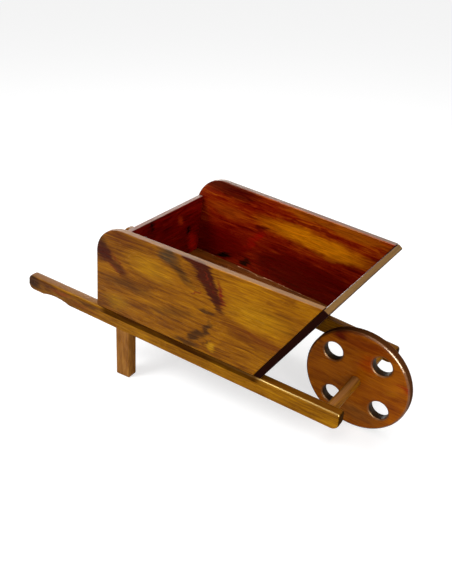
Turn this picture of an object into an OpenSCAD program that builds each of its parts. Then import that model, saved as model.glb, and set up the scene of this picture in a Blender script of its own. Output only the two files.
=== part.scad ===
// Decorative wooden wheelbarrow: two tapering rails that end in handles, a splayed
// tray, two legs and one wooden wheel on a dowel axle.
// Millimetres. +X points forward to the wheel, +Y to the left, +Z up.
// The origin is on the ground, under the middle of the overall box.
// Sizes along X are distances behind (or before) the wheel's axle, measured along the rails.

/* [Wheel and axle] */
// Outer diameter of the wheel
wheel_d = 200; // [170:1:214]
// Thickness of the wheel
wheel_t = 20; // [12:1:36]
// Radius of the rounded rim edges
rim_round = 3; // [1:0.5:5]
// Diameter of each round hole through the wheel
hole_d = 36; // [20:1:40]
// Radius of the rounded edges of each hole
hole_round = 2.5; // [1:0.5:6]
// Wood left between a hole and the rim
hole_margin = 16.5; // [12:0.5:20]
// Number of holes through the wheel
hole_count = 4; // [3:1:5]
// Angle of the first hole above the forward direction, at rest
hole_phase = 48; // [0:0.5:90]
// Diameter of the axle dowel
axle_d = 20; // [12:1:22]
// Depth of the blind axle bores in the rails
axle_bore_depth = 13; // [8:0.5:16]
// Radial running clearance of the axle in its bores
axle_clearance = 0.05; // [0.02:0.01:0.1]
// Gap between each axle end and the bottom of its bore
axle_end_gap = 0.4; // [0.3:0.1:1]

/* [Rails] */
// Thickness of a rail, from side to side
rail_t = 20; // [18:1:30]
// Depth of a rail, from top to bottom
rail_h = 34; // [32:1:48]
// Distance from the rail's top down to the axle's centre
axle_drop = 13.5; // [12.5:0.5:18]
// Distance between the rails' outer faces at the axle
track_w = 252; // [220:1:300]
// Angle of each rail to the centre line, opening to the rear
rail_taper = 2.5; // [0.5:0.1:3]
// Length of a rail behind the axle, to the handle's tip
rail_rear = 682; // [640:1:760]
// Length of a rail in front of the axle
rail_front = 27; // [22:1:34]
// Slope of the rails, nose down, when the barrow stands on its wheel and legs
rail_slope = 4; // [2:0.25:5]
// Radius of the upper corner at the rail's front end
nose_round_top = 6; // [2:0.5:8]
// Radius of the lower corner at the rail's front end
nose_round_bottom = 14; // [8:0.5:18]
// Radius of the two corners of a handle's tip
tip_round = 13; // [6:0.5:15]
// Length of the shallow finger hollow under a handle
grip_l = 70; // [50:1:90]
// Depth of the finger hollow
grip_depth = 6; // [3:0.5:9]
// Distance from a handle's tip to the middle of the finger hollow
grip_from_tip = 76; // [70:1:90]

/* [Legs] */
// Width of a leg along the rail
leg_w = 33; // [20:1:40]
// Thickness of a leg, from side to side
leg_t = 23; // [18:1:30]
// Distance from the axle back to the middle of the legs
leg_x = 431; // [400:1:440]

/* [Tray] */
// Thickness of the tray's wall boards
board_t = 12; // [9:0.5:14]
// Height of the side boards above the rails
side_h = 193; // [160:1:220]
// Set-back of the side boards from the rails' outer faces
side_inset = 1.5; // [1:0.5:4]
// Outward lean of the side boards
side_splay = 5; // [0:0.1:8]
// Radius of the side boards' upper rear corners
side_round = 70; // [20:1:75]
// Distance from the axle back to the foot of the side boards' rear edges
side_rear_x = 495; // [490:1:520]
// Forward rake of the side boards' rear edges
rear_rake = 6.5; // [0:0.5:7]
// Distance from the axle back to the tail board's inner face
tail_x = 463; // [455:1:464]
// Height of the tail board above the rails
tail_h = 146; // [110:1:150]
// Distance from the axle back to the foot of the front board's inner face
tray_front_x = 140; // [138:1:155]
// Lean of the front board from upright
front_lean = 30.3; // [20:0.1:32]

/* [Floor and bearers] */
// Thickness of the floor boards
floor_t = 12; // [9:0.5:16]
// Height of the floor's upper face above the rails
floor_level = 25.5; // [22:0.5:30]
// Width of the middle floor board
middle_board_w = 92; // [80:1:100]
// Open joint between neighbouring floor boards
floor_joint = 0.8; // [0.4:0.1:2]
// Thickness of a bearer along the rails
bearer_t = 20; // [16:1:24]
// Depth of a bearer, from top to bottom
bearer_h = 34; // [32:1:40]
// Distance from the foot of the front board back to the front bearer
front_bearer_gap = 21; // [10:1:50]
// Distance from the tail board forward to the rear bearer
rear_bearer_gap = 10; // [6:1:20]

/* [Dowels, screws and nails] */
// Diameter of the joining dowels
dowel_d = 8; // [6:0.5:10]
// Length of the joining dowels
dowel_l = 28; // [24:1:30]
// Depth to which a dowel enters the rail
dowel_in_rail = 13; // [10:0.5:14]
// Radial glue gap round a dowel
dowel_clearance = 0.05; // [0.02:0.01:0.1]
// Shank diameter of the side board screws
screw_d = 4; // [3:0.5:4.5]
// Length of the side board screws
screw_l = 60; // [55:1:70]
// Head diameter of the screws
screw_head_d = 8; // [7:0.5:9]
// Shank diameter of the nails
nail_d = 1.8; // [1.2:0.1:2.2]
// Length of the nails
nail_l = 32; // [26:1:36]
// Head diameter of the nails
nail_head_d = 3; // [2.6:0.1:3.6]
// Height of a nail's head
nail_head_h = 1.2; // [0.8:0.1:1.6]
// Depth of the nail heads below the faces that they are driven into
nail_sink = 0.5; // [0.3:0.1:1]
// Margin by which screws and nails are smaller than their holes, on the radius
drive_gap = 0.02; // [0.01:0.01:0.04]
// Distance of the outermost nails from the ends of a corner joint
nail_margin = 20; // [14:1:35]
// Distance of the floor nails from the edges of the boards and from the rails
floor_nail_margin = 15; // [8:1:18]
// Depth of the screw heads below the rails' undersides
screw_sink = 0.6; // [0.4:0.1:2]
// Distance from each side board screw back to its neighbouring nail
screw_to_nail = 20; // [10:1:30]
// Number of nails in each corner joint of the tray
corner_nail_count = 3; // [2:1:4]
// Number of screws and of nails along the foot of each side board
side_fixing_count = 3; // [2:1:4]

/* [Hidden] */

$fn = 96;
// Size of the blocks that stand for a half-space
far = 1200;

wheel_r = wheel_d / 2;
axle_r = axle_d / 2;
rail_top = axle_drop;
rail_bottom = rail_top - rail_h;
axle_half = track_w / 2 - rail_t / cos(rail_taper) + axle_bore_depth - axle_end_gap;

floor_top = rail_top + floor_level;
floor_bottom = floor_top - floor_t;
side_top = rail_top + side_h;
hole_circle_r = wheel_r - hole_margin - hole_d / 2;
// Least half length of straight wall between a hole's two rounded edges
hole_wall_least = 1;

screw_head_h = (screw_head_d - screw_d) / 2;
screw_point_l = 1.5 * screw_d;
nail_point_l = 1.5 * nail_d;
dowel_chamfer = dowel_d / 8;

// Thickness of the leaning front board, measured along X
front_step = board_t / cos(front_lean);
front_bearer_x = tray_front_x + front_bearer_gap + bearer_t / 2;
rear_bearer_x = tail_x - rear_bearer_gap - bearer_t / 2;

// The handle's tip reaches furthest back at its lower rounded corner
tip_a = cos(rail_slope) * cos(rail_taper);
tip_c = sin(rail_slope);
rear_reach = tip_a * (rail_rear - tip_round) - tip_c * (rail_bottom + tip_round)
    + tip_round * sqrt(tip_a * tip_a + tip_c * tip_c);
axle_x = (rear_reach - wheel_r) / 2;

// Places of the barrow, of a rail and of a side board

// From the axle's frame, whose X runs along the barrow and whose Z is square to the
// rails, to the barrow standing on the ground
module standing() {
    translate([axle_x, 0, wheel_r])
        rotate([0, rail_slope, 0])
            children();
}

// The right side is drawn, and the left side is its mirror image
module handed(left) {
    if (left) mirror([0, 1, 0]) children();
    else children();
}

// The right rail's frame: X along the rail, Y inward from its outer face
module at_rail() {
    translate([0, -track_w / 2, 0])
        rotate([0, 0, rail_taper])
            children();
}

// The right side board's frame: X along its foot, Y inward from its outer face, Z up it
module at_side_board() {
    at_rail()
        translate([0, side_inset, rail_top])
            rotate([side_splay, 0, 0])
                children();
}

// A prism across the barrow, with its outline drawn in the X-Z plane
module across(width) {
    rotate([90, 0, 0])
        linear_extrude(height = width, center = true)
            children();
}

// Everything between the planes that lie this far in from the side boards' outer faces
module between_sides(depth) {
    intersection_for(left = [false, true])
        handed(left)
            at_side_board()
                translate([-far, depth, -far / 4])
                    cube([2 * far, far, far]);
}

// X of the side boards' rear edges, and of the front board's inner face, at a height
function rear_edge_x(z) = (z - rail_top) * tan(rear_rake) - side_rear_x;
function front_face_x(z) = (z - rail_top) * tan(front_lean) - tray_front_x;

// Fixings: each points down from a head, or end, at the origin

module dowel() {
    rotate_extrude()
        polygon([
            [0, 0], [dowel_d / 2 - dowel_chamfer, 0], [dowel_d / 2, -dowel_chamfer],
            [dowel_d / 2, dowel_chamfer - dowel_l], [dowel_d / 2 - dowel_chamfer, -dowel_l],
            [0, -dowel_l]
        ]);
}

module dowel_hole() {
    translate([0, 0, -dowel_l - dowel_clearance])
        cylinder(r = dowel_d / 2 + dowel_clearance, h = dowel_l + 2 * dowel_clearance);
}

// Profile of a screw below its head's rim, this much larger on the radius
function screw_profile(gap) = [
    [screw_head_d / 2 + gap, 0], [screw_d / 2 + gap, -screw_head_h],
    [screw_d / 2 + gap, screw_point_l - screw_l], [0, -screw_l - gap]
];

module screw() {
    slot_l = screw_head_d * 0.55;
    slot_w = screw_head_d * 0.13;
    difference() {
        rotate_extrude()
            polygon(concat([[0, 0]], screw_profile(0)));
        for (turn = [0, 90])
            rotate([0, 0, turn])
                cube([slot_l, slot_w, screw_head_h], center = true);
    }
}

// The hole goes on past the head, out of the oblique face that it is sunk below
module screw_hole() {
    rise = screw_sink + screw_head_d / 2;
    rotate_extrude()
        polygon(concat([[0, rise], [screw_head_d / 2 + drive_gap, rise]], screw_profile(drive_gap)));
}

// Profile of a nail below the rim of its head, this much larger on the radius
function nail_profile(gap) = [
    [nail_head_d / 2 + gap, -nail_sink - nail_head_h],
    [nail_d / 2 + gap, -nail_sink - nail_head_h - nail_d / 2],
    [nail_d / 2 + gap, nail_point_l - nail_l], [0, -nail_l - gap]
];

// A nail points down from the face at the origin, and its head is sunk below that face
module nail() {
    rotate_extrude()
        polygon(concat([[0, -nail_sink], [nail_head_d / 2, -nail_sink]], nail_profile(0)));
}

module nail_hole() {
    rotate_extrude()
        polygon(concat([[0, nail_sink], [nail_head_d / 2 + drive_gap, nail_sink]], nail_profile(drive_gap)));
}

// Places of the fixings

// Evenly spread places from one end to the other
function spread(first, last, count) = [for (i = [0 : count - 1]) first + (last - first) * i / (count - 1)];

bearer_xs = [-front_bearer_x, -rear_bearer_x];
floor_nail_ys = [
    middle_board_w / 2 - floor_nail_margin,
    middle_board_w / 2 + floor_joint + floor_nail_margin,
    track_w / 2 - rail_t - floor_nail_margin
];

// Heights of the corner nails above the rails
tail_nail_zs = spread(nail_margin, tail_h - nail_margin, corner_nail_count);
front_nail_zs = spread(nail_margin, side_h - nail_margin, corner_nail_count);

// The screws stand along a side board's foot between the front bearer and the leg
screw_xs = spread(
    -front_bearer_x - bearer_t / 2 - screw_head_d, leg_w / 2 + screw_head_d - leg_x, side_fixing_count
);

// One dowel joins each end of a bearer to a rail, through the middle of their overlap
module at_bearer_dowels(left) {
    overlap_middle = (rail_top + floor_bottom - bearer_h) / 2;
    handed(left)
        for (x = bearer_xs)
            at_rail()
                translate([x / cos(rail_taper), rail_t - dowel_in_rail, overlap_middle])
                    rotate([90, 0, 0])
                        children();
}

// One dowel joins each leg to the underside of its rail
module at_leg_dowel(left) {
    handed(left)
        at_rail()
            translate([-leg_x / cos(rail_taper), rail_t / 2, rail_bottom + dowel_in_rail])
                children();
}

// The screws rise from under the rail along the middle of the splayed side board
module at_side_screws(left) {
    handed(left)
        for (x = screw_xs)
            at_side_board()
                translate([x / cos(rail_taper), board_t / 2,
                        screw_sink - rail_h / cos(side_splay) - board_t / 2 * tan(side_splay)])
                    rotate([180, 0, 0])
                        children();
}

// The corner nails run through the side boards into the ends of the tail board
module at_tail_nails(left) {
    handed(left)
        for (z = tail_nail_zs)
            at_side_board()
                translate([(-tail_x - board_t / 2) / cos(rail_taper), 0, z / cos(side_splay)])
                    rotate([90, 0, 0])
                        children();
}

// The front nails run back through the front board into the ends of the side boards
module at_front_nails(left) {
    handed(left)
        for (z = front_nail_zs) {
            x = front_face_x(rail_top + z);
            depth = side_inset + board_t / 2 / cos(side_splay) - z * tan(side_splay);
            y = x * tan(rail_taper) + depth / cos(rail_taper) - track_w / 2;
            translate([x, y, rail_top + z])
                rotate([0, 90 + front_lean, 0])
                    translate([0, 0, board_t])
                        children();
        }
}

// The side nails run through the side boards into the edges of the outer floor boards
module at_side_nails(left) {
    handed(left)
        for (x = screw_xs)
            at_side_board()
                translate([x / cos(rail_taper) - screw_to_nail, 0,
                        (floor_level - floor_t / 2) / cos(side_splay) - board_t * tan(side_splay)])
                    rotate([90, 0, 0])
                        children();
}

// Two nails hold each floor board to each bearer
module at_floor_nails() {
    for (x = bearer_xs)
        for (y = floor_nail_ys)
            for (side = [-1, 1])
                translate([x, side * y, floor_top])
                    children();
}

// Frame

module rail_outline() {
    grip_r = (grip_l * grip_l / 4 + grip_depth * grip_depth) / (2 * grip_depth);
    difference() {
        union() {
            translate([tip_round - rail_rear, rail_bottom])
                square([rail_rear + rail_front - tip_round - nose_round_bottom, rail_h]);
            translate([-rail_rear, rail_bottom + tip_round])
                square([rail_rear, rail_h - 2 * tip_round]);
            for (z = [rail_bottom + tip_round, rail_top - tip_round])
                translate([tip_round - rail_rear, z])
                    circle(r = tip_round);
            translate([0, rail_bottom + nose_round_bottom])
                square([rail_front, rail_h - nose_round_top - nose_round_bottom]);
            translate([0, rail_top - 2 * nose_round_top])
                square([rail_front - nose_round_top, 2 * nose_round_top]);
            translate([rail_front - nose_round_top, rail_top - nose_round_top])
                circle(r = nose_round_top);
            translate([rail_front - nose_round_bottom, rail_bottom + nose_round_bottom])
                circle(r = nose_round_bottom);
        }
        translate([grip_from_tip - rail_rear, rail_bottom + grip_depth - grip_r])
            circle(r = grip_r, $fn = 240);
    }
}

module rail_blank() {
    at_rail()
        translate([0, rail_t / 2, 0])
            across(rail_t)
                rail_outline();
}

module rail(left) {
    standing()
        difference() {
            handed(left) rail_blank();
            rotate([90, 0, 0])
                cylinder(r = axle_r + axle_clearance, h = 2 * (axle_half + axle_end_gap), center = true);
            at_bearer_dowels(left) dowel_hole();
            at_leg_dowel(left) dowel_hole();
            at_side_screws(left) screw_hole();
        }
}

module right_rail() {
    color("peru") rail(false);
}

module left_rail() {
    color("peru") rail(true);
}

// A bearer fills the width between the rails and stands proud of them to carry the floor
module bearer(x) {
    standing()
        difference() {
            intersection() {
                translate([x - bearer_t / 2, -far / 2, floor_bottom - bearer_h])
                    cube([bearer_t, far, bearer_h]);
                intersection_for(left = [false, true])
                    handed(left)
                        at_rail()
                            translate([-far, rail_t, -far / 2])
                                cube([2 * far, far, far]);
            }
            for (left = [false, true])
                at_bearer_dowels(left) dowel_hole();
            at_floor_nails() nail_hole();
        }
}

module front_bearer() {
    color("sienna") bearer(-front_bearer_x);
}

module rear_bearer() {
    color("sienna") bearer(-rear_bearer_x);
}

// A leg is flush with its rail's outer face, and its foot is cut level with the ground
module leg(left) {
    intersection() {
        standing()
            difference() {
                handed(left)
                    at_rail()
                        translate([-leg_x / cos(rail_taper) - leg_w / 2, 0, rail_bottom - 2 * wheel_r])
                            cube([leg_w, leg_t, 2 * wheel_r]);
                at_leg_dowel(left) dowel_hole();
            }
        translate([-far, -far, 0])
            cube([2 * far, 2 * far, far]);
    }
}

module right_leg() {
    color("saddlebrown") leg(false);
}

module left_leg() {
    color("saddlebrown") leg(true);
}

// Tray

// Outline of a side board, seen from the side, before its upper rear corner is rounded
module side_outline() {
    polygon([
        [-side_rear_x, rail_top], [rear_edge_x(side_top), side_top],
        [front_face_x(side_top), side_top], [-tray_front_x, rail_top]
    ]);
}

// What lies outside the rounded corner, between the two places where the round ends
module corner_waste() {
    centre = [rear_edge_x(side_top) + side_round / tan(45 + rear_rake / 2), side_top - side_round];
    block = 2 * side_round;
    difference() {
        across(far)
            polygon([
                centre, centre + [0, block], centre + [-block, block],
                centre + block * [-cos(rear_rake), sin(rear_rake)]
            ]);
        translate([centre.x, 0, centre.y])
            rotate([90, 0, 0])
                cylinder(r = side_round, h = 2 * far, center = true);
    }
}

module side_board(left) {
    standing()
        difference() {
            intersection() {
                handed(left)
                    at_side_board()
                        translate([-far, 0, -far / 4])
                            cube([2 * far, board_t, far]);
                across(far)
                    side_outline();
            }
            corner_waste();
            at_side_screws(left) screw_hole();
            at_tail_nails(left) nail_hole();
            at_front_nails(left) nail_hole();
            at_side_nails(left) nail_hole();
        }
}

module right_side_board() {
    color("darkgoldenrod") side_board(false);
}

module left_side_board() {
    color("brown") side_board(true);
}

// The tail board stands square on the rails, between the side boards
module tail_board() {
    color("maroon")
        standing()
            difference() {
                intersection() {
                    translate([-tail_x - board_t, -far / 2, rail_top])
                        cube([board_t, far, tail_h]);
                    between_sides(board_t);
                }
                for (left = [false, true])
                    at_tail_nails(left) nail_hole();
            }
}

module front_board() {
    color("sienna")
        standing()
            difference() {
                intersection() {
                    across(far)
                        polygon([
                            [front_face_x(rail_top), rail_top],
                            [front_face_x(side_top), side_top],
                            [front_face_x(side_top) + board_t * cos(front_lean),
                                side_top - board_t * sin(front_lean)],
                            [front_face_x(rail_top) + front_step, rail_top]
                        ]);
                    between_sides(0);
                }
                for (left = [false, true])
                    at_front_nails(left) nail_hole();
            }
}

// A floor board between two distances from the centre line, the wall boards cutting its outline
module floor_board(y_from, y_to) {
    standing()
        difference() {
            intersection() {
                translate([0, y_from, 0])
                    rotate([90, 0, 0])
                        translate([0, 0, y_from - y_to])
                            linear_extrude(height = y_to - y_from)
                                polygon([
                                    [-tail_x, floor_bottom], [-tail_x, floor_top],
                                    [front_face_x(floor_top), floor_top],
                                    [front_face_x(floor_bottom), floor_bottom]
                                ]);
                between_sides(board_t);
            }
            at_floor_nails() nail_hole();
            for (left = [false, true])
                at_side_nails(left) nail_hole();
        }
}

module floor_board_right() {
    color("chocolate") floor_board(-track_w, -middle_board_w / 2 - floor_joint);
}

module floor_board_middle() {
    color("chocolate") floor_board(-middle_board_w / 2, middle_board_w / 2);
}

module floor_board_left() {
    color("chocolate") floor_board(middle_board_w / 2 + floor_joint, track_w);
}

// Wheel

// Profile of the tool that cuts a hole with rounded edges, from the hole's axis outward
function hole_profile() =
    let (
        half_t = wheel_t / 2,
        edge_r = min(hole_round, half_t - hole_wall_least),
        steps = 9,
        edge = [for (i = [0 : steps]) edge_r * [1 - sin(90 * i / steps), 1 - cos(90 * i / steps)]],
        lower = [for (p = edge) [hole_d / 2 + p.x, p.y - half_t]],
        upper = [for (i = [steps : -1 : 0]) [lower[i].x, -lower[i].y]]
    )
    concat(
        [[0, -wheel_t], [hole_d / 2 + edge_r, -wheel_t]], lower,
        upper, [[hole_d / 2 + edge_r, wheel_t], [0, wheel_t]]
    );

module wheel() {
    half_t = wheel_t / 2;
    color("chocolate")
        translate([axle_x, 0, wheel_r])
            difference() {
                rotate([90, 0, 0])
                    rotate_extrude($fn = 180)
                        union() {
                            translate([axle_r, rim_round - half_t])
                                square([wheel_r - axle_r, wheel_t - 2 * rim_round]);
                            translate([axle_r, -half_t])
                                square([wheel_r - rim_round - axle_r, wheel_t]);
                            for (z = [rim_round - half_t, half_t - rim_round])
                                translate([wheel_r - rim_round, z])
                                    circle(r = rim_round, $fn = 48);
                        }
                for (i = [0 : hole_count - 1])
                    rotate([0, -hole_phase - i * 360 / hole_count, 0])
                        translate([hole_circle_r, 0, 0])
                            rotate([90, 0, 0])
                                rotate_extrude()
                                    polygon(hole_profile());
            }
}

module axle() {
    chamfer = axle_r / 10;
    color("sienna")
        translate([axle_x, 0, wheel_r])
            rotate([90, 0, 0])
                rotate_extrude()
                    polygon([
                        [0, -axle_half], [axle_r - chamfer, -axle_half], [axle_r, chamfer - axle_half],
                        [axle_r, axle_half - chamfer], [axle_r - chamfer, axle_half], [0, axle_half]
                    ]);
}

// Dowels, screws and nails

module bearer_dowels() {
    color("burlywood")
        standing()
            for (left = [false, true])
                at_bearer_dowels(left) dowel();
}

module leg_dowels() {
    color("burlywood")
        standing()
            for (left = [false, true])
                at_leg_dowel(left) dowel();
}

module side_screws() {
    color("silver")
        standing()
            for (left = [false, true])
                at_side_screws(left) screw();
}

module tail_nails() {
    color("dimgray")
        standing()
            for (left = [false, true])
                at_tail_nails(left) nail();
}

module front_nails() {
    color("dimgray")
        standing()
            for (left = [false, true])
                at_front_nails(left) nail();
}

module side_nails() {
    color("dimgray")
        standing()
            for (left = [false, true])
                at_side_nails(left) nail();
}

module floor_nails() {
    color("dimgray")
        standing()
            at_floor_nails() nail();
}

right_rail();
left_rail();
front_bearer();
rear_bearer();
right_leg();
left_leg();
right_side_board();
left_side_board();
tail_board();
front_board();
floor_board_right();
floor_board_middle();
floor_board_left();
wheel();
axle();
bearer_dowels();
leg_dowels();
side_screws();
tail_nails();
front_nails();
side_nails();
floor_nails();
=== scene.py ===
import math

import bmesh
import bpy
from mathutils import Matrix, Vector


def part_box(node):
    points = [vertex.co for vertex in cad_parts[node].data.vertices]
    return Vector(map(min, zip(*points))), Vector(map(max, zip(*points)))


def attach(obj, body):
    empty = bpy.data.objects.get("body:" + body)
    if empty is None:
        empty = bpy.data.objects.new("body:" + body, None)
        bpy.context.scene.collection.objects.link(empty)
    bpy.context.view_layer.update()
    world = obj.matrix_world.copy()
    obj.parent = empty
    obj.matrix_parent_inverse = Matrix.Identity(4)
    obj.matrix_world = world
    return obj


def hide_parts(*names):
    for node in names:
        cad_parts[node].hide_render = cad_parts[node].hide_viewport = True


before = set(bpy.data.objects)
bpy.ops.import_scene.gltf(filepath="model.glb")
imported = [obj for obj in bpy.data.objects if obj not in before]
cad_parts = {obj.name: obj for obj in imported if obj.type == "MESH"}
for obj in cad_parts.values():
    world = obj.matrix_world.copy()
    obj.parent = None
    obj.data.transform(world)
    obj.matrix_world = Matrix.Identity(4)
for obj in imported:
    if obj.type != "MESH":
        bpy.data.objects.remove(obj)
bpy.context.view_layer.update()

# Sizes of the barrow, in metres. The axle's frame has its origin in the axle, X along the
# barrow and Z square to the rails; places and heights below are in that frame.
SLOPE = math.radians(4)
TAPER = math.radians(2.5)
TRACK = 0.252
RAIL_T = 0.020
RAIL_TOP = 0.0135
RAIL_BOTTOM = -0.0205
RAIL_REAR = -0.682
RAIL_FRONT = 0.027
TIP_ROUND = 0.013
NOSE_ROUND_TOP = 0.006
NOSE_ROUND_BOTTOM = 0.014
# The grip is a shallow arc cut out of the handle's underside
GRIP_X = -0.606
GRIP_L = 0.070
GRIP_DEPTH = 0.006
RAIL_ROUND = 0.0045
# The height of the lower edges' rounding, as a share of the upper ones'
RAIL_ROUND_BELOW = 0.45

LEG_X = -0.431
LEG_W = 0.033
LEG_T = 0.023
LEG_INTO_RAIL = 0.003
LEG_ROUND = 0.0028

BOARD_T = 0.012
BOARD_ROUND = 0.0022
SIDE_INSET = 0.0015
SPLAY = math.radians(5)
SIDE_TOP = RAIL_TOP + 0.193
SIDE_REAR_X = -0.495
REAR_RAKE = math.radians(6.5)
CORNER_ROUND = 0.070
FRONT_X = -0.140
FRONT_LEAN = math.radians(30.3)
FRONT_ROUND = 0.0026
TAIL_X = -0.463
TAIL_TOP = RAIL_TOP + 0.146

FLOOR_TOP = RAIL_TOP + 0.0255
FLOOR_BOTTOM = FLOOR_TOP - 0.012
MIDDLE_BOARD_W = 0.092
OUTER_BOARD_Y = 0.085
FLOOR_JOINT = 0.0008
BEARER_T = 0.020
BEARER_H = 0.034
BEARER_XS = {"front_bearer": -0.171, "rear_bearer": -0.443}
PLANK_ROUND = 0.0016

WHEEL_R = 0.100
WHEEL_T = 0.020
# A rounded edge reaches this far along Y (round) and along the radius (lip)
RIM_ROUND = 0.0050
RIM_LIP = 0.0060
RIM_STEPS = 180
HOLES = 4
HOLE_R = 0.018
HOLE_CIRCLE_R = 0.0655
HOLE_PHASE = 48.0 + math.degrees(SLOPE)
HOLE_ROUND = 0.0040
HOLE_LIP = 0.0065
HOLE_STEPS = 64
AXLE_R = 0.010
AXLE_CHAMFER = AXLE_R / 10
AXLE_STEPS = 72
BORE_ROUND = 0.0005

QUARTER = math.radians(90)

axle_low, axle_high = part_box("axle")
AXLE_CENTRE = (axle_low + axle_high) / 2
AXLE_HALF = (axle_high.y - axle_low.y) / 2
STAND = Matrix.Translation(AXLE_CENTRE) @ Matrix.Rotation(SLOPE, 4, "Y")


# Places of the pieces


def turn(angle, axis):
    return Matrix.Rotation(angle, 4, axis)


def move(x, y, z):
    return Matrix.Translation((x, y, z))


def rail_place(side):
    """A rail's frame in the axle's frame: X along the rail, Y from its outer face."""
    return move(0, side * TRACK / 2, 0) @ turn(-side * TAPER, "Z")


def side_place(side):
    """A side board's frame: X along its foot, Y from its outer face, Z up the board."""
    return rail_place(side) @ move(0, -side * SIDE_INSET, RAIL_TOP) @ turn(-side * SPLAY, "X")


def side_face_y(side, depth, x, z):
    """Y of the face that lies this deep in a side board, at a place in the axle's frame."""
    lean = (z - RAIL_TOP) * math.tan(SPLAY)
    inward = (SIDE_INSET + depth / math.cos(SPLAY) - lean) / math.cos(TAPER)
    return side * (TRACK / 2 - x * math.tan(TAPER) - inward)


def rail_face_y(side, depth, x):
    """Y of the face that lies this deep in a rail."""
    return side * (TRACK / 2 - x * math.tan(TAPER) - depth / math.cos(TAPER))


def front_face_x(z):
    return (z - RAIL_TOP) * math.tan(FRONT_LEAN) + FRONT_X


def rear_edge_x(z):
    return (z - RAIL_TOP) * math.tan(REAR_RAKE) + SIDE_REAR_X


def arc(centre, radius, start, end, steps):
    """Points of an arc in the X-Z plane, angles in degrees from +X towards +Z."""
    angles = [math.radians(start + (end - start) * i / steps) for i in range(steps + 1)]
    return [
        (centre[0] + radius * math.cos(a), centre[1] + radius * math.sin(a)) for a in angles
    ]


def circle_points(centre, radius, steps):
    return [
        (centre[0] + radius * math.cos(2 * math.pi * i / steps),
         centre[1] + radius * math.sin(2 * math.pi * i / steps))
        for i in range(steps)
    ]


# Meshes


def join_loops(bm, lower, upper):
    """The smooth band of faces between two loops that have equally many points."""
    for i in range(len(lower)):
        j = (i + 1) % len(lower)
        bm.faces.new((lower[i], lower[j], upper[j], upper[i])).smooth = True


def make_object(name, bm, place, nodes, body="barrow"):
    """Turns a bmesh in the axle's frame into a piece whose own frame is place."""
    bm.normal_update()
    bmesh.ops.recalc_face_normals(bm, faces=bm.faces)
    bmesh.ops.transform(bm, matrix=place.inverted(), verts=bm.verts)
    mesh = bpy.data.meshes.new(name)
    bm.to_mesh(mesh)
    bm.free()
    piece = bpy.data.objects.new(name, mesh)
    bpy.context.scene.collection.objects.link(piece)
    piece.matrix_world = STAND @ place
    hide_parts(*nodes)
    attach(piece, body)
    return piece


def round_edges(piece, width):
    """Rounds the sharp edges over and keeps the flat faces flat in the shading."""
    for polygon in piece.data.polygons:
        polygon.use_smooth = True
    bevel = piece.modifiers.new("Rounded edges", "BEVEL")
    bevel.width = width
    bevel.segments = 4
    bevel.limit_method = "ANGLE"
    bevel.angle_limit = math.radians(30)
    bevel.harden_normals = True


def board(name, outline, near_y, far_y, place, edge, material):
    """A board whose outline lies in the X-Z plane, between two faces given as y(x, z)."""
    bm = bmesh.new()
    near = [bm.verts.new((x, near_y(x, z), z)) for x, z in outline]
    far = [bm.verts.new((x, far_y(x, z), z)) for x, z in outline]
    bm.faces.new(near)
    bm.faces.new(reversed(far))
    for i in range(len(outline)):
        j = (i + 1) % len(outline)
        bm.faces.new((near[j], near[i], far[i], far[j]))
    piece = make_object(name, bm, place, [name])
    round_edges(piece, edge)
    piece.data.materials.append(material)
    return piece


def rail_outline(inset):
    """The rail's outline, drawn in by the inset (less along the lower edge)."""
    below = inset * RAIL_ROUND_BELOW
    grip_r = (GRIP_L**2 / 4 + GRIP_DEPTH**2) / (2 * GRIP_DEPTH)
    grip_centre = (GRIP_X, RAIL_BOTTOM + GRIP_DEPTH - grip_r)
    half_angle = math.degrees(math.acos((grip_r - GRIP_DEPTH + below) / (grip_r + below)))
    tip_x = RAIL_REAR + TIP_ROUND
    return [
        *arc((tip_x, RAIL_BOTTOM + TIP_ROUND), TIP_ROUND - below, 180, 270, 14),
        *arc(grip_centre, grip_r + below, 90 + half_angle, 90 - half_angle, 24),
        *arc(
            (RAIL_FRONT - NOSE_ROUND_BOTTOM, RAIL_BOTTOM + NOSE_ROUND_BOTTOM),
            NOSE_ROUND_BOTTOM - below, 270, 360, 14,
        ),
        *arc(
            (RAIL_FRONT - NOSE_ROUND_TOP, RAIL_TOP - NOSE_ROUND_TOP),
            NOSE_ROUND_TOP - inset, 0, 90, 10,
        ),
        *arc((tip_x, RAIL_TOP - TIP_ROUND), TIP_ROUND - inset, 90, 180, 14),
    ]


def rail(name, side, material):
    """A rail with rounded edges, drawn in its own frame as a stack of outlines."""
    bm = bmesh.new()
    steps = 6
    quarter = [math.pi / 2 * i / steps for i in range(steps + 1)]
    depths = [
        (RAIL_ROUND * (1 - math.cos(a)), RAIL_ROUND * (1 - math.sin(a))) for a in quarter
    ]
    depths += [(RAIL_T - depth, inset) for depth, inset in reversed(depths)]
    loops = []
    for depth, inset in depths:
        loops.append([bm.verts.new((x, -side * depth, z)) for x, z in rail_outline(inset)])
    for lower, upper in zip(loops, loops[1:]):
        join_loops(bm, lower, upper)
    bm.faces.new(reversed(loops[0]))
    bm.faces.new(loops[-1])
    place = rail_place(side)
    bmesh.ops.transform(bm, matrix=place, verts=bm.verts)
    piece = make_object(name, bm, place, [name])
    piece.data.materials.append(material)
    return piece


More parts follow.
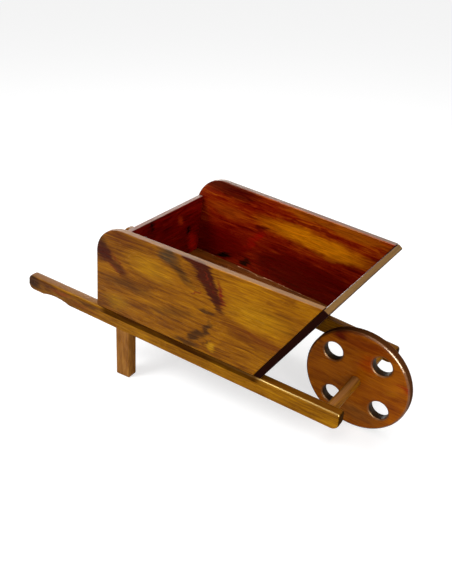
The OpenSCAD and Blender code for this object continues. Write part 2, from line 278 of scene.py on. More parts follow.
def leg(name, side, material):
    """A leg closes against its rail's rounded lower edge; its foot is cut level."""
    place = rail_place(side)
    bm = bmesh.new()
    middle = LEG_X / math.cos(TAPER)
    top, foot = [], []
    for x, y in ((-1, 0), (1, 0), (1, 1), (-1, 1)):
        top_z = RAIL_BOTTOM + LEG_INTO_RAIL * (1 - y)
        corner = place @ Vector((middle + x * LEG_W / 2, -side * y * LEG_T, top_z))
        top.append(bm.verts.new(corner))
        ground_z = (corner.x * math.sin(SLOPE) - AXLE_CENTRE.z) / math.cos(SLOPE)
        foot.append(bm.verts.new((corner.x, corner.y, ground_z)))
    bm.faces.new(top)
    bm.faces.new(reversed(foot))
    for i in range(4):
        j = (i + 1) % 4
        bm.faces.new((top[j], top[i], foot[i], foot[j]))
    upright = place @ move(middle, -side * LEG_T / 2, 0) @ turn(QUARTER, "Y")
    piece = make_object(name, bm, upright, [name])
    round_edges(piece, LEG_ROUND)
    piece.data.materials.append(material)
    return piece


def edge_profile(edge_round, lip, outward):
    """Steps (change of radius, y) over both rounded edges of the wheel's rim or of a hole."""
    half = WHEEL_T / 2
    steps = 7
    quarter = []
    for i in range(steps + 1):
        a = math.pi / 2 * i / steps
        inset = lip * (1 - math.sin(a))
        quarter.append((-outward * inset, half - edge_round * (1 - math.cos(a))))
    return [(dr, -y) for dr, y in quarter] + [(dr, y) for dr, y in reversed(quarter)]


def wheel(name, material):
    """A disc with a rounded rim, round holes with softened edges and the axle's bore."""
    bm = bmesh.new()
    loops = [((0.0, 0.0), WHEEL_R, RIM_ROUND, RIM_LIP, 1, RIM_STEPS)]
    for i in range(HOLES):
        a = math.radians(HOLE_PHASE + 360 / HOLES * i)
        centre = (HOLE_CIRCLE_R * math.cos(a), HOLE_CIRCLE_R * math.sin(a))
        loops.append((centre, HOLE_R, HOLE_ROUND, HOLE_LIP, -1, HOLE_STEPS))
    loops.append(((0.0, 0.0), AXLE_R, BORE_ROUND, BORE_ROUND, -1, HOLE_STEPS))
    cap_edges = {-1: [], 1: []}
    for centre, radius, edge_round, lip, outward, steps in loops:
        rings = []
        for dr, y in edge_profile(edge_round, lip, outward):
            points = circle_points(centre, radius + dr, steps)
            rings.append([bm.verts.new((x, y, z)) for x, z in points])
        for lower, upper in zip(rings, rings[1:]):
            join_loops(bm, lower, upper)
        for side, ring in ((-1, rings[0]), (1, rings[-1])):
            for i in range(steps):
                cap_edges[side].append(bm.edges.get((ring[i], ring[(i + 1) % steps])))
    for edges in cap_edges.values():
        bmesh.ops.triangle_fill(bm, use_beauty=True, use_dissolve=False, edges=edges)
    piece = make_object(name, bm, Matrix.Identity(4), [name], "wheel")
    piece.data.materials.append(material)
    return piece


def axle(name, material):
    """A round bar with chamfered ends, seated in both rails."""
    bm = bmesh.new()
    profile = [
        (AXLE_R - AXLE_CHAMFER, -AXLE_HALF), (AXLE_R, AXLE_CHAMFER - AXLE_HALF),
        (AXLE_R, AXLE_HALF - AXLE_CHAMFER), (AXLE_R - AXLE_CHAMFER, AXLE_HALF),
    ]
    rings = []
    for radius, y in profile:
        points = circle_points((0, 0), radius, AXLE_STEPS)
        rings.append([bm.verts.new((x, y, z)) for x, z in points])
    for lower, upper in zip(rings, rings[1:]):
        join_loops(bm, lower, upper)
    bm.faces.new(rings[0])
    bm.faces.new(reversed(rings[-1]))
    piece = make_object(name, bm, turn(QUARTER, "Z"), [name], "wheel")
    piece.data.materials.append(material)
    return piece


# Materials


def srgb(red, green, blue):
    """A colour as it shows on screen, 0 to 255, as the linear values a shader takes."""
    linear = []
    for value in (red, green, blue):
        v = value / 255
        linear.append(v / 12.92 if v <= 0.04045 else ((v + 0.055) / 1.055) ** 2.4)
    return (*linear, 1.0)


class Shader:
    """The node tree of one material, with short ways to add and wire its nodes."""

    def __init__(self, name):
        self.material = bpy.data.materials.new(name)
        self.material.use_nodes = True
        self.tree = self.material.node_tree
        self.principled = self.tree.nodes["Principled BSDF"]

    def node(self, kind, inputs=(), **settings):
        made = self.tree.nodes.new(kind)
        for key, value in settings.items():
            setattr(made, key, value)
        for key, value in dict(inputs).items():
            self.put(made.inputs[key], value)
        return made

    def put(self, socket, value):
        """Wires an output into a socket, or sets the socket's own value."""
        if isinstance(value, bpy.types.NodeSocket):
            self.tree.links.new(value, socket)
        elif value is not None:
            socket.default_value = value

    def surface(self, inputs):
        for key, value in inputs.items():
            self.put(self.principled.inputs[key], value)

    def math(self, operation, a, b=None, clamp=False):
        return self.node(
            "ShaderNodeMath", {0: a, 1: b}, operation=operation, use_clamp=clamp
        ).outputs[0]

    def plus(self, a, b):
        return self.math("ADD", a, b)

    def minus(self, a, b):
        return self.math("SUBTRACT", a, b)

    def times(self, first, *others):
        for other in others:
            first = self.math("MULTIPLY", first, other)
        return first

    def vector(self, operation, a, b=None):
        made = self.node("ShaderNodeVectorMath", {0: a, 1: b}, operation=operation)
        return made.outputs["Value" if operation == "LENGTH" else "Vector"]

    def noise(self, where, stretch, detail=2.0, roughness=0.5, distortion=0.0):
        scaled = self.vector("MULTIPLY", where, stretch)
        return self.node(
            "ShaderNodeTexNoise",
            {"Vector": scaled, "Scale": 1.0, "Detail": detail, "Roughness": roughness,
             "Distortion": distortion},
        )

    def remap(self, value, low, high, to_low=0.0, to_high=1.0, smooth=False):
        made = self.node(
            "ShaderNodeMapRange",
            {"Value": value, "From Min": low, "From Max": high, "To Min": to_low,
             "To Max": to_high},
            interpolation_type="SMOOTHSTEP" if smooth else "LINEAR",
        )
        return made.outputs["Result"]

    def mix(self, factor, a, b):
        # A mix node's sockets for colours are its seventh and eighth input and third output
        return self.node("ShaderNodeMix", {0: factor, 6: a, 7: b}, data_type="RGBA").outputs[2]

    def ramp(self, value, stops):
        """A colour ramp with (position, colour) stops."""
        made = self.node("ShaderNodeValToRGB", {"Fac": value})
        elements = made.color_ramp.elements
        for _ in range(len(stops) - 2):
            elements.new(0.5)
        for element, (position, colour) in zip(elements, stops):
            element.position = position
            element.color = colour
        return made.outputs["Color"]


# The noises in the wood: how often each repeats per metre along X, Y and Z of a board
DRIFT_RATE = (5, 18, 18)
FIBRE_RATE = (18, 560, 560)
STREAK_RATE = (7, 190, 190)
BLOTCH_RATE = (11, 32, 32)
WANDER_RATE = (18, 46, 46)
FEATHER_RATE = (24, 300, 300)
# How far some of them shift the grain or the outline of a mark, in metres
DRIFT_REACH = (0.0, 0.020, 0.020)
WANDER_REACH = (0.034, 0.0, 0.030)
FEATHER_REACH = (0.026, 0.0, 0.005)
# The values of a noise at which it counts for nothing and in full
NOISE_SPAN = (0.30, 0.70)
FIBRE_SPAN = (0.28, 0.72)
STREAK_GAPS = (0.36, 0.62)
STREAK_SHEEN = (0.30, 0.62)

# Growth rings: width, how much they are drawn out along the grain, and shades across one
RING_W = 0.0065
RING_STRETCH = 0.035
RING_SHADES = [(0.0, 0.0), (0.45, 0.15), (0.84, 1.0), (1.0, 0.0)]

# Weights in the stain, and the stain at the darkest tone and from there to the lightest
BLOTCH_STAIN = 0.34
STREAK_STAIN = 0.24
FIBRE_STAIN = 0.50
RING_STAIN = 0.10
DARKEST_STAIN = 0.14
STAIN_SPAN = 0.74

# How the fibres shade a mark, how the streaks break it up, and how deep it goes
MARK_SHADES = (0.55, 1.45)
MARK_BREAKS = (1.25, 0.80)
MARK_DEPTH = 0.008
# A band's ragged edge and the length over which it fades out, in metres
BAND_RAGGED = 0.0008
BAND_FADE = 0.02
BAND_STRENGTH = (0.98, 0.72)
BAND_MATT = 0.9
BAND_ROUGHER = 0.5
# How much of a top's colour is left where the streaks are weakest
TOP_THINNEST = 0.7

# Where the masks by a face's direction in its board's frame are nothing and full
UPPER = (0.72, 0.97)
ENDS = (0.35, 0.70)
EDGES = (0.22, 0.42)
DISC_ENDS = (0.70, 0.15)
DISC_EDGES = (0.985, 0.85)
# The same by the distance from a wheel's centre, for all that isn't the tread
DISC_INSIDE = (0.094, 0.088)
END_STRENGTH = 0.92
END_SHADE = 0.6
DISC_EDGE_STRENGTH = 0.55

# Roughness of the varnish; what is added on dry end grain, the lips of holes and worn upper
# faces, and what is taken off on rounded edges
ROUGHNESS = (0.20, 0.34)
DRY_ROUGHER = 0.45
LIP_ROUGHER = 0.16
WORN_ROUGHER = 0.22
EDGE_SMOOTHER = 0.08
# Specular level on the end grain, on the faces and on the walls of holes, and what worn
# upper faces and the lips of holes lose
END_VARNISH = 0.02
FACE_VARNISH = 0.13
WALL_VARNISH = 0.15
RUBBED_OFF = 0.06
LIP_LOSS = 0.45
# The green in the gloss, whose red is full, on faces and on rounded edges
FACE_GLOSS_GREEN = 0.72
EDGE_GLOSS_GREEN = 0.84

# Relief of the grain: weights of fibres, rings and blotches, strength and height in metres
FIBRE_RELIEF = 0.35
RING_RELIEF = 0.25
BLOTCH_RELIEF = 1.2
RELIEF_STRENGTH = 0.35
RELIEF_HEIGHT = 0.0012

# Tones on a wheel: the walls of its holes where lighter and darker, stained end grain darkened
# further as painted shade, and the painted shade on its rounded edges
hole_stain_and_shade_lighter = (16, 5, 2)
hole_stain_and_shade_darker = (6, 2, 1)
painted_shade_lips = (70, 38, 18)


class Wood(Shader):
    """Stained, varnished pine in a board's own frame: X along the grain, Y through it."""

    def __init__(self, name, shift, pith):
        super().__init__(name)
        coordinates = self.node("ShaderNodeTexCoord")
        self.here = coordinates.outputs["Object"]
        self.place = self.node("ShaderNodeSeparateXYZ", {0: self.here}).outputs
        facing = self.node("ShaderNodeSeparateXYZ", {0: coordinates.outputs["Normal"]})
        self.facing = facing.outputs
        self.moved = self.add_vector(self.here, shift)

        # The growth rings lie round the pith, and the grain wanders along the board
        drift = self.wobble(DRIFT_RATE, DRIFT_REACH, roughness=0.5)
        wavy = self.add_vector(self.here, drift)
        from_pith = self.vector("SUBTRACT", wavy, (0, *pith))
        from_pith = self.vector("MULTIPLY", from_pith, (RING_STRETCH, 1, 1))
        rings = self.math("DIVIDE", self.vector("LENGTH", from_pith), RING_W)
        shades = [(position, (shade, shade, shade, 1)) for position, shade in RING_SHADES]
        self.late_wood = self.ramp(self.math("FRACT", rings), shades)

        # Fine fibres, broad streaks and blotches of stain
        flowing = self.add_vector(wavy, shift)
        fibres = self.noise(flowing, FIBRE_RATE, detail=3, roughness=0.7)
        streaks = self.noise(flowing, STREAK_RATE, detail=4, roughness=0.62)
        blotches = self.noise(
            self.moved, BLOTCH_RATE, detail=5, roughness=0.6, distortion=0.6
        )
        self.fibres = fibres.outputs["Fac"]
        self.streaks = streaks.outputs["Fac"]
        self.blotches = blotches.outputs["Fac"]

    def add_vector(self, a, b):
        return self.vector("ADD", a, b)

    def wobble(self, rate, reach, roughness):
        """A shift that varies over the board, by half the reach either way."""
        noise = self.noise(self.moved, rate, detail=3, roughness=roughness)
        centred = self.vector("SUBTRACT", noise.outputs["Color"], (0.5, 0.5, 0.5))
        return self.vector("MULTIPLY", centred, reach)

    def stain(self, tones, slant, rise):
        """The ground colour. slant and rise shift the stain along X and Z."""
        blotches = self.remap(self.blotches, *NOISE_SPAN)
        streaks = self.remap(self.streaks, *NOISE_SPAN)
        fibres = self.remap(self.fibres, *FIBRE_SPAN)
        stain = self.times(blotches, BLOTCH_STAIN)
        stain = self.plus(stain, self.times(streaks, STREAK_STAIN))
        stain = self.plus(stain, self.times(fibres, FIBRE_STAIN))
        stain = self.minus(stain, self.times(self.late_wood, RING_STAIN))
        for change, axis in ((slant, "X"), (rise, "Z")):
            if change is not None:
                (from_place, from_change), (to_place, to_change) = change
                shade = self.remap(
                    self.place[axis], from_place, to_place, from_change, to_change
                )
                stain = self.plus(stain, shade)
        last = len(tones) - 1
        stops = [
            (DARKEST_STAIN + STAIN_SPAN * i / last, srgb(*tone)) for i, tone in enumerate(tones)
        ]
        self.colour = self.ramp(stain, stops)

    def paint(self, mask, colour):
        self.colour = self.mix(mask, self.colour, colour)

    def paint_marks(self, marks):
        """Stains, knots, painted shade and painted highlights, their outlines broken up by the
        grain.
        """
        wander = self.wobble(WANDER_RATE, WANDER_REACH, roughness=0.6)
        feather = self.wobble(FEATHER_RATE, FEATHER_REACH, roughness=0.65)
        ragged = self.add_vector(self.here, self.add_vector(wander, feather))
        shade = self.remap(self.fibres, *NOISE_SPAN, *MARK_SHADES)
        breaks = self.remap(self.streaks, *STREAK_GAPS, *MARK_BREAKS)
        for tint, centre, half_length, half_width, angle, strength, softness in marks:
            placed = self.node(
                "ShaderNodeMapping",
                {"Vector": ragged, "Location": centre,
                 "Rotation": (0, math.radians(-angle), 0),
                 "Scale": (half_length, MARK_DEPTH, half_width)},
                vector_type="TEXTURE",
            )
            distance = self.vector("LENGTH", placed.outputs["Vector"])
            mask = self.remap(distance, 1.0, 1.0 - softness, 0.0, strength, smooth=True)
            mask = self.math("MULTIPLY", mask, breaks, clamp=True)
            self.paint(mask, self.vector("MULTIPLY", srgb(*tint)[:3], shade))

    def paint_shade_band(self, tint, from_x, to_x, from_z):
        """A painted shade along an upper edge, under a board's foot. Returns how matt it leaves
        the wood.
        """
        ragged = self.remap(self.streaks, *NOISE_SPAN, -BAND_RAGGED, BAND_RAGGED)
        height = self.plus(self.place["Z"], ragged)
        x = self.place["X"]
        mask = self.times(
            self.remap(height, from_z, from_z + BAND_RAGGED, smooth=True),
            self.remap(x, from_x, from_x + BAND_FADE, smooth=True),
            self.remap(x, to_x, to_x - BAND_FADE, smooth=True),
        )
        uneven = self.remap(self.blotches, *NOISE_SPAN, *BAND_STRENGTH)
        self.paint(self.times(mask, uneven), srgb(*tint))
        return self.times(mask, BAND_MATT)

    def paint_top_sheen(self, upper, tops):
        """Upper faces coloured with painted sheen and painted reflections, pale or dark as
        given.
        """
        for tone, strength, x, x_beyond in tops:
            thinnest = TOP_THINNEST * strength
            sheen_strength = self.remap(self.streaks, *STREAK_SHEEN, thinnest, strength)
            there = self.remap(self.place["X"], x, x_beyond, smooth=True)
            self.paint(self.times(upper, sheen_strength, there), srgb(*tone))

    def paint_ends(self, ends, light, dark):
        """End grain drinks more stain; in a wheel's holes the tones passed in carry painted
        shade too.
        """
        tone = self.mix(self.remap(self.fibres, *NOISE_SPAN), light, dark)
        self.paint(self.times(ends, END_STRENGTH), tone)

    def varnish(self, roughness, level, tint):
        """Wires up the colour, the varnish and the relief of the grain."""
        relief = self.plus(
            self.times(self.fibres, FIBRE_RELIEF), self.times(self.late_wood, RING_RELIEF)
        )
        relief = self.plus(relief, self.times(self.blotches, BLOTCH_RELIEF))
        bump = self.node(
            "ShaderNodeBump",
            {"Height": relief, "Strength": RELIEF_STRENGTH, "Distance": RELIEF_HEIGHT},
        )
        self.surface(
            {"Base Color": self.colour, "Roughness": roughness,
             "Normal": bump.outputs["Normal"], "Specular IOR Level": level,
             "Specular Tint": tint}
        )
        return self.material


def varnished_wood(name, tones, shift, pith, marks=(), tops=(), slant=None, rise=None,
                   band=None, end_tone=(40, 17, 6), disc=False, gloss_blue=0.10,
                   edge_varnish=FACE_VARNISH, edge_blue=0.62, varnish_from=None):
    """The wood of one board.

    tones: colours from the darkest to the lightest stain. shift: where in the noise this
    board lies. pith: (y, z) of the tree's centre line. marks: stains, knots, painted shade and
    painted highlights as (colour, (x, y, z), half length, half width, angle in degrees,
    strength, softness).
    tops: (colour, strength, x, x beyond) of painted sheen and painted reflections on upper
    faces, setting in between the two x.
    slant, rise: two (place, change) pairs of the stain along X and along Z. band: (colour,
    x from, x to, z from) of a painted shade under a board's foot. end_tone: the end grain's
    colour. disc: a wheel, whose tread and hole walls are its end grain, with painted shade in
    the holes and on the rounded edges. gloss_blue, edge_blue: blueness of the gloss on faces
    and on rounded edges. edge_varnish: specular level on the rounded edges. varnish_from: the
    two x between which that sets in.
    """
    s = Wood(name, shift, pith)
    s.stain(tones, slant, rise)
    if marks:
        s.paint_marks(marks)
    # A painted shade along the rail's upper edge under a board's foot
    if band:
        matt = s.paint_shade_band(*band)

    across = s.math("ABSOLUTE", s.facing["Y"])
    upper = s.remap(s.facing["Z"], *UPPER, smooth=True)
    # Painted sheen and painted reflections on upper faces
    s.paint_top_sheen(upper, tops)
    end_light, end_dark = srgb(*end_tone), srgb(*[c * END_SHADE for c in end_tone])
    if disc:
        from_centre = s.vector("LENGTH", s.vector("MULTIPLY", s.here, (1, 0, 1)))
        inside = s.remap(from_centre, *DISC_INSIDE)
        ends = s.remap(across, *DISC_ENDS, smooth=True)
        edges = s.remap(across, *DISC_EDGES, smooth=True)
        lips = s.times(edges, inside)
        # In the holes the end grain's tones turn near black: stain and painted shade
        end_light = s.mix(inside, end_light, srgb(*hole_stain_and_shade_lighter))
        end_dark = s.mix(inside, end_dark, srgb(*hole_stain_and_shade_darker))
        # Painted shade on the rounded edges of the rim and the holes
        s.paint(s.times(edges, DISC_EDGE_STRENGTH), srgb(*painted_shade_lips))
    else:
        ends = s.remap(s.math("ABSOLUTE", s.facing["X"]), *ENDS, smooth=True)
        edges = s.remap(s.times(across, s.facing["Z"]), *EDGES, smooth=True)
    s.paint_ends(ends, end_light, end_dark)

    # The varnish lies thick on the rounded edges and is soaked up by the end grain
    bare = s.minus(1.0, ends)
    edges = s.times(edges, bare)
    if varnish_from is not None:
        edges = s.times(edges, s.remap(s.place["X"], *varnish_from, smooth=True))
    roughness = s.remap(s.blotches, *NOISE_SPAN, *ROUGHNESS)
    level = s.plus(s.times(bare, FACE_VARNISH - END_VARNISH), END_VARNISH)
    level = s.minus(level, s.times(upper, RUBBED_OFF))
    dry = ends
    if disc:
        roughness = s.plus(roughness, s.times(lips, LIP_ROUGHER))
        edges = s.math("SUBTRACT", edges, s.times(lips, LIP_LOSS), clamp=True)
        dry = s.times(ends, s.minus(1.0, inside))
        level = s.plus(level, s.times(s.times(ends, inside), WALL_VARNISH))
    roughness = s.plus(roughness, s.times(dry, DRY_ROUGHER))
    roughness = s.plus(roughness, s.times(upper, WORN_ROUGHER))
    roughness = s.minus(roughness, s.times(edges, EDGE_SMOOTHER))
    level = s.plus(level, s.times(edges, edge_varnish - FACE_VARNISH))
    if band:
        roughness = s.plus(roughness, s.times(matt, BAND_ROUGHER))
        level = s.times(level, s.minus(1.0, matt))
    face_tint = (1.0, FACE_GLOSS_GREEN, gloss_blue, 1)
    edge_tint = (1.0, EDGE_GLOSS_GREEN, edge_blue, 1)
    return s.varnish(roughness, level, s.mix(edges, face_tint, edge_tint))


def brushed_steel(name):
    s = Shader(name)
    here = s.node("ShaderNodeTexCoord").outputs["Object"]
    scratches = s.noise(here, (900, 900, 120), detail=3).outputs["Fac"]
    colour = s.ramp(scratches, [(0.3, srgb(150, 146, 138)), (0.7, srgb(196, 194, 190))])
    roughness = s.remap(scratches, *NOISE_SPAN, 0.28, 0.5)
    s.surface({"Base Color": colour, "Metallic": 1.0, "Roughness": roughness})
    return s.material


def plain_wood(name):
    s = Shader(name)
    here = s.node("ShaderNodeTexCoord").outputs["Object"]
    grain = s.noise(here, (420, 420, 420), detail=4, roughness=0.7).outputs["Fac"]
    colour = s.ramp(grain, [(0.3, srgb(176, 128, 78)), (0.7, srgb(214, 172, 118))])
    roughness = s.remap(grain, *NOISE_SPAN, 0.6, 0.8)
    bump = s.node("ShaderNodeBump", {"Height": grain, "Strength": 0.3, "Distance": 0.0005})
    s.surface(
        {"Base Color": colour, "Roughness": roughness, "Normal": bump.outputs["Normal"]}
    )
    return s.material


# The woods: tones from dark to light, tints, and marks as varnished_wood takes them

golden = [(74, 34, 1), (110, 58, 1), (142, 85, 1), (174, 116, 2)]
far_red = [(48, 1, 1), (88, 3, 1), (116, 24, 2), (150, 64, 3)]
maroon = [(46, 1, 1), (84, 2, 1), (114, 6, 2), (140, 24, 4)]
front_red = [(14, 1, 1), (26, 2, 1), (46, 8, 2), (80, 28, 5)]
floor_brown = [(44, 14, 3), (68, 28, 4), (96, 46, 8), (118, 64, 14)]
rail_brown = [(82, 42, 4), (116, 68, 4), (144, 92, 4), (170, 116, 12)]
leg_brown = [(92, 48, 14), (122, 74, 24), (148, 96, 36), (172, 122, 56)]
wheel_orange = [(112, 48, 2), (138, 66, 3), (160, 84, 4), (182, 106, 7)]
under_brown = [(70, 36, 14), (96, 54, 20), (118, 72, 28), (136, 88, 38)]
axle_brown = [(92, 50, 8), (118, 70, 10), (138, 88, 14), (158, 112, 34)]

maroon_tint = (60, 4, 1)
red_tint = (104, 22, 4)
dark_brown_tint = (62, 30, 6)
grey_tint = (66, 44, 26)
gold_tint = (184, 132, 8)
# A painted sheen on the boards' upper faces
painted_sheen_beige = (116, 94, 76)

near_side_marks = [
    # light patches of the golden ground
    (gold_tint, (-0.360, 0, 0.140), 0.070, 0.036, 0, 0.35, 0.9),
    (gold_tint, (-0.140, 0, 0.130), 0.090, 0.040, 0, 0.35, 0.9),
    (gold_tint, (-0.440, 0, 0.030), 0.040, 0.026, 0, 0.35, 0.9),
    # clouds lower down
    (dark_brown_tint, (-0.410, 0, 0.080), 0.085, 0.016, 4, 0.5, 0.9),
    (dark_brown_tint, (-0.310, 0, 0.064), 0.075, 0.016, 14, 0.45, 0.9),
    # darker corners of the board
    ((94, 32, 3), (-0.110, 0, 0.082), 0.120, 0.024, -4, 0.8, 0.9),
    ((88, 36, 6), (-0.424, 0, 0.178), 0.056, 0.016, 0, 0.75, 0.9),
    # the long diagonal flame under the upper edge
    (dark_brown_tint, (-0.290, 0, 0.158), 0.050, 0.014, -42, 0.8, 0.8),
    (grey_tint, (-0.318, 0, 0.184), 0.034, 0.024, -25, 0.9, 0.8),
    (red_tint, (-0.211, 0, 0.145), 0.040, 0.007, -76, 0.9, 0.7),
    (maroon_tint, (-0.262, 0, 0.192), 0.036, 0.022, -12, 1.0, 0.4),
    (maroon_tint, (-0.246, 0, 0.170), 0.034, 0.019, -48, 1.0, 0.4),
    (maroon_tint, (-0.229, 0, 0.146), 0.032, 0.014, -60, 1.0, 0.45),
    (maroon_tint, (-0.214, 0, 0.124), 0.026, 0.009, -72, 1.0, 0.6),
    (red_tint, (-0.240, 0, 0.166), 0.032, 0.003, -56, 0.7, 0.8),
    (red_tint, (-0.262, 0, 0.128), 0.018, 0.003, 30, 0.9, 0.7),
    # the rear streak
    (maroon_tint, (-0.466, 0, 0.136), 0.036, 0.022, -40, 1.0, 0.5),
    (maroon_tint, (-0.434, 0, 0.114), 0.034, 0.016, -36, 0.9, 0.6),
    (red_tint, (-0.428, 0, 0.126), 0.034, 0.003, -42, 0.8, 0.8),
    (red_tint, (-0.440, 0, 0.106), 0.030, 0.003, -34, 0.7, 0.8),
    (dark_brown_tint, (-0.472, 0, 0.166), 0.034, 0.016, -50, 0.85, 0.8),
    # a knot and the dark swirl below it
    (dark_brown_tint, (-0.234, 0, 0.098), 0.020, 0.008, 5, 0.9, 0.6),
    (dark_brown_tint, (-0.238, 0, 0.060), 0.028, 0.009, 62, 0.9, 0.6),
    (dark_brown_tint, (-0.262, 0, 0.034), 0.032, 0.011, 40, 0.9, 0.6),
    (dark_brown_tint, (-0.286, 0, 0.008), 0.040, 0.012, 4, 0.9, 0.7),
    (gold_tint, (-0.228, 0, 0.024), 0.013, 0.016, 60, 0.6, 0.8),
    (dark_brown_tint, (-0.240, 0, 0.030), 0.022, 0.003, 50, 0.6, 0.8),
]

far_side_marks = [
    ((66, 2, 1), (-0.395, -0.012, 0.184), 0.100, 0.024, -2, 0.95, 0.5),
    ((124, 44, 4), (-0.395, -0.012, 0.134), 0.070, 0.018, -4, 0.8, 0.6),
    ((130, 62, 4), (-0.150, -0.012, 0.184), 0.150, 0.016, -1, 0.85, 0.6),
    ((176, 100, 3), (-0.185, -0.012, 0.140), 0.165, 0.026, -2, 1.0, 0.75),
    ((86, 8, 2), (-0.180, -0.012, 0.166), 0.130, 0.004, -1, 0.8, 0.6),
    # painted shade: the dark lower part of the tray's inner wall
    ((74, 1, 1), (-0.185, -0.012, 0.056), 0.150, 0.046, -3, 1.0, 0.35),
    ((84, 2, 1), (-0.400, -0.012, 0.066), 0.090, 0.036, 0, 1.0, 0.5),
    ((128, 30, 3), (-0.395, -0.012, 0.104), 0.060, 0.003, 0, 0.7, 0.7),
    ((124, 10, 3), (-0.322, -0.012, 0.094), 0.044, 0.013, 55, 0.85, 0.7),
    ((70, 2, 1), (-0.306, -0.012, 0.128), 0.022, 0.009, 30, 0.9, 0.6),
    # painted shade, near black, where the inner wall meets the floor
    ((6, 1, 1), (-0.388, -0.012, 0.036), 0.028, 0.009, 20, 1.0, 0.6),
    ((10, 1, 1), (-0.338, -0.012, 0.036), 0.014, 0.012, 30, 0.9, 0.6),
]

tail_marks = [
    ((150, 44, 6), (0.072, 0, 0.116), 0.012, 0.020, 20, 0.8, 0.8),
    ((156, 16, 4), (0.112, 0, 0.050), 0.020, 0.034, 20, 0.85, 0.8),
    ((14, 1, 1), (0.098, 0, 0.084), 0.012, 0.010, 0, 0.9, 0.8),
    ((14, 1, 1), (-0.020, 0, 0.136), 0.012, 0.012, 0, 0.9, 0.8),
]

wheel_marks = [
    ((112, 34, 3), (0.000, -0.010, 0.080), 0.080, 0.026, 0, 0.75, 0.9),
    ((84, 8, 2), (-0.046, -0.010, 0.084), 0.026, 0.016, 20, 0.9, 0.7),
    ((150, 50, 3), (0.018, -0.010, 0.045), 0.030, 0.030, 40, 0.7, 0.9),
    ((136, 30, 4), (0.096, -0.010, 0.026), 0.007, 0.036, 80, 0.8, 0.7),
    ((112, 66, 26), (0.010, -0.010, -0.070), 0.080, 0.034, 8, 0.7, 0.9),
    ((100, 36, 6), (-0.078, -0.010, 0.044), 0.014, 0.018, 0, 0.6, 0.8),
    ((170, 104, 6), (0.070, -0.010, 0.008), 0.026, 0.012, 12, 0.3, 0.9),
    ((104, 34, 6), (0.078, -0.010, -0.020), 0.020, 0.024, 60, 0.5, 0.9),
]

# A painted highlight: a pale line along the eased edge where the floor meets the far wall
floor_painted_highlight = [((170, 120, 88), (-0.300, 0, -0.0408), 0.165, 0.0012, 2.5, 0.9, 0.5)]

rail_marks = [
    ((48, 18, 4), (-0.672, 0, 0.0020), 0.034, 0.024, 0, 1.0, 0.7),
    ((72, 30, 6), (-0.628, 0, 0.0050), 0.044, 0.010, -8, 0.85, 0.9),
    ((120, 48, 6), (-0.590, 0, 0.0000), 0.034, 0.008, 0, 0.7, 0.9),
    ((66, 28, 6), (-0.520, 0, 0.0060), 0.046, 0.008, 0, 0.8, 0.9),
    ((112, 46, 6), (-0.530, 0, -0.0080), 0.050, 0.010, 0, 0.6, 0.9),
]
# A painted shade on the rail under the foot of the side board
painted_shade_band = ((42, 16, 3), -0.492, -0.118, 0.0026)
# Painted reflections on a rail's top: pale at the handle, where it mirrors the bright surround,
# and dark in front of the tray, where it mirrors the tray's dark underside
rail_top_reflections = [((108, 74, 46), 0.85, -0.47, -0.53), ((80, 38, 8), 0.75, -0.16, -0.11)]
# The x between which a top's colour sets in when it covers the whole board
whole = (-2.0, -1.9)

# The pale tops given to the boards below are a painted sheen on their upper faces
wood_right_side = varnished_wood(
    "Right side wood", golden, (0.3, 0.1, 0.2), (0.055, 0.080), near_side_marks,
    tops=[(painted_sheen_beige, 0.74, *whole)], slant=((-0.49, -0.06), (-0.15, 0.08)),
)
# The rise, darker low on the board and lighter higher up, is painted shade for the tray's inner
# wall
wood_left_side = varnished_wood(
    "Left side wood", far_red, (1.7, 0.4, 0.9), (0.050, 0.090), far_side_marks,
    tops=[((116, 102, 92), 0.9, *whole)], rise=((0.070, -0.08), (0.150, 0.10)),
)
wood_tail = varnished_wood(
    "Tail wood", maroon, (3.1, 0.8, 0.3), (0.060, 0.070), tail_marks,
    tops=[((118, 98, 88), 0.9, *whole)],
)
wood_front = varnished_wood(
    "Front wood", front_red, (4.6, 1.3, 0.7), (0.055, 0.100),
    tops=[((126, 94, 52), 0.85, *whole)], end_tone=(30, 6, 3), gloss_blue=0.55,
)
wood_floor = varnished_wood("Floor wood", floor_brown, (6.2, 0.2, 1.1), (0.060, 0.040))
wood_floor_left = varnished_wood(
    "Left floor wood", floor_brown, (6.9, 0.5, 0.4), (0.060, 0.040), floor_painted_highlight
)
wood_right_rail, wood_left_rail = [
    varnished_wood(
        name, rail_brown, shift, pith, rail_marks, band=painted_shade_band, tops=rail_top_reflections,
        slant=((-0.68, -0.22), (-0.35, 0.02)), edge_varnish=1.0, edge_blue=0.34,
        varnish_from=(-0.30, -0.12),
    )
    for name, shift, pith in (
        ("Right rail wood", (7.9, 0.5, 0.6), (0.040, 0.030)),
        ("Left rail wood", (9.3, 0.7, 1.4), (-0.040, 0.030)),
    )
]
wood_leg = varnished_wood(
    "Leg wood", leg_brown, (10.7, 0.3, 0.5), (0.050, 0.030), gloss_blue=0.5
)
wood_bearer = varnished_wood("Bearer wood", under_brown, (12.1, 0.6, 0.2), (0.045, 0.020))
wood_wheel = varnished_wood(
    "Wheel wood", wheel_orange, (13.4, 0.9, 0.8), (0.070, -0.020), wheel_marks,
    end_tone=(84, 46, 20), disc=True, gloss_blue=0.25, edge_varnish=0.9,
)
# The axle's top is a painted pinkish sheen on its upper side
wood_axle = varnished_wood(
    "Axle wood", axle_brown, (15.8, 0.1, 0.4), (0.030, 0.010),
    tops=[((138, 92, 62), 0.5, *whole)],
)

# Outlines of the boards in the X-Z plane of the axle's frame, and the pieces themselves

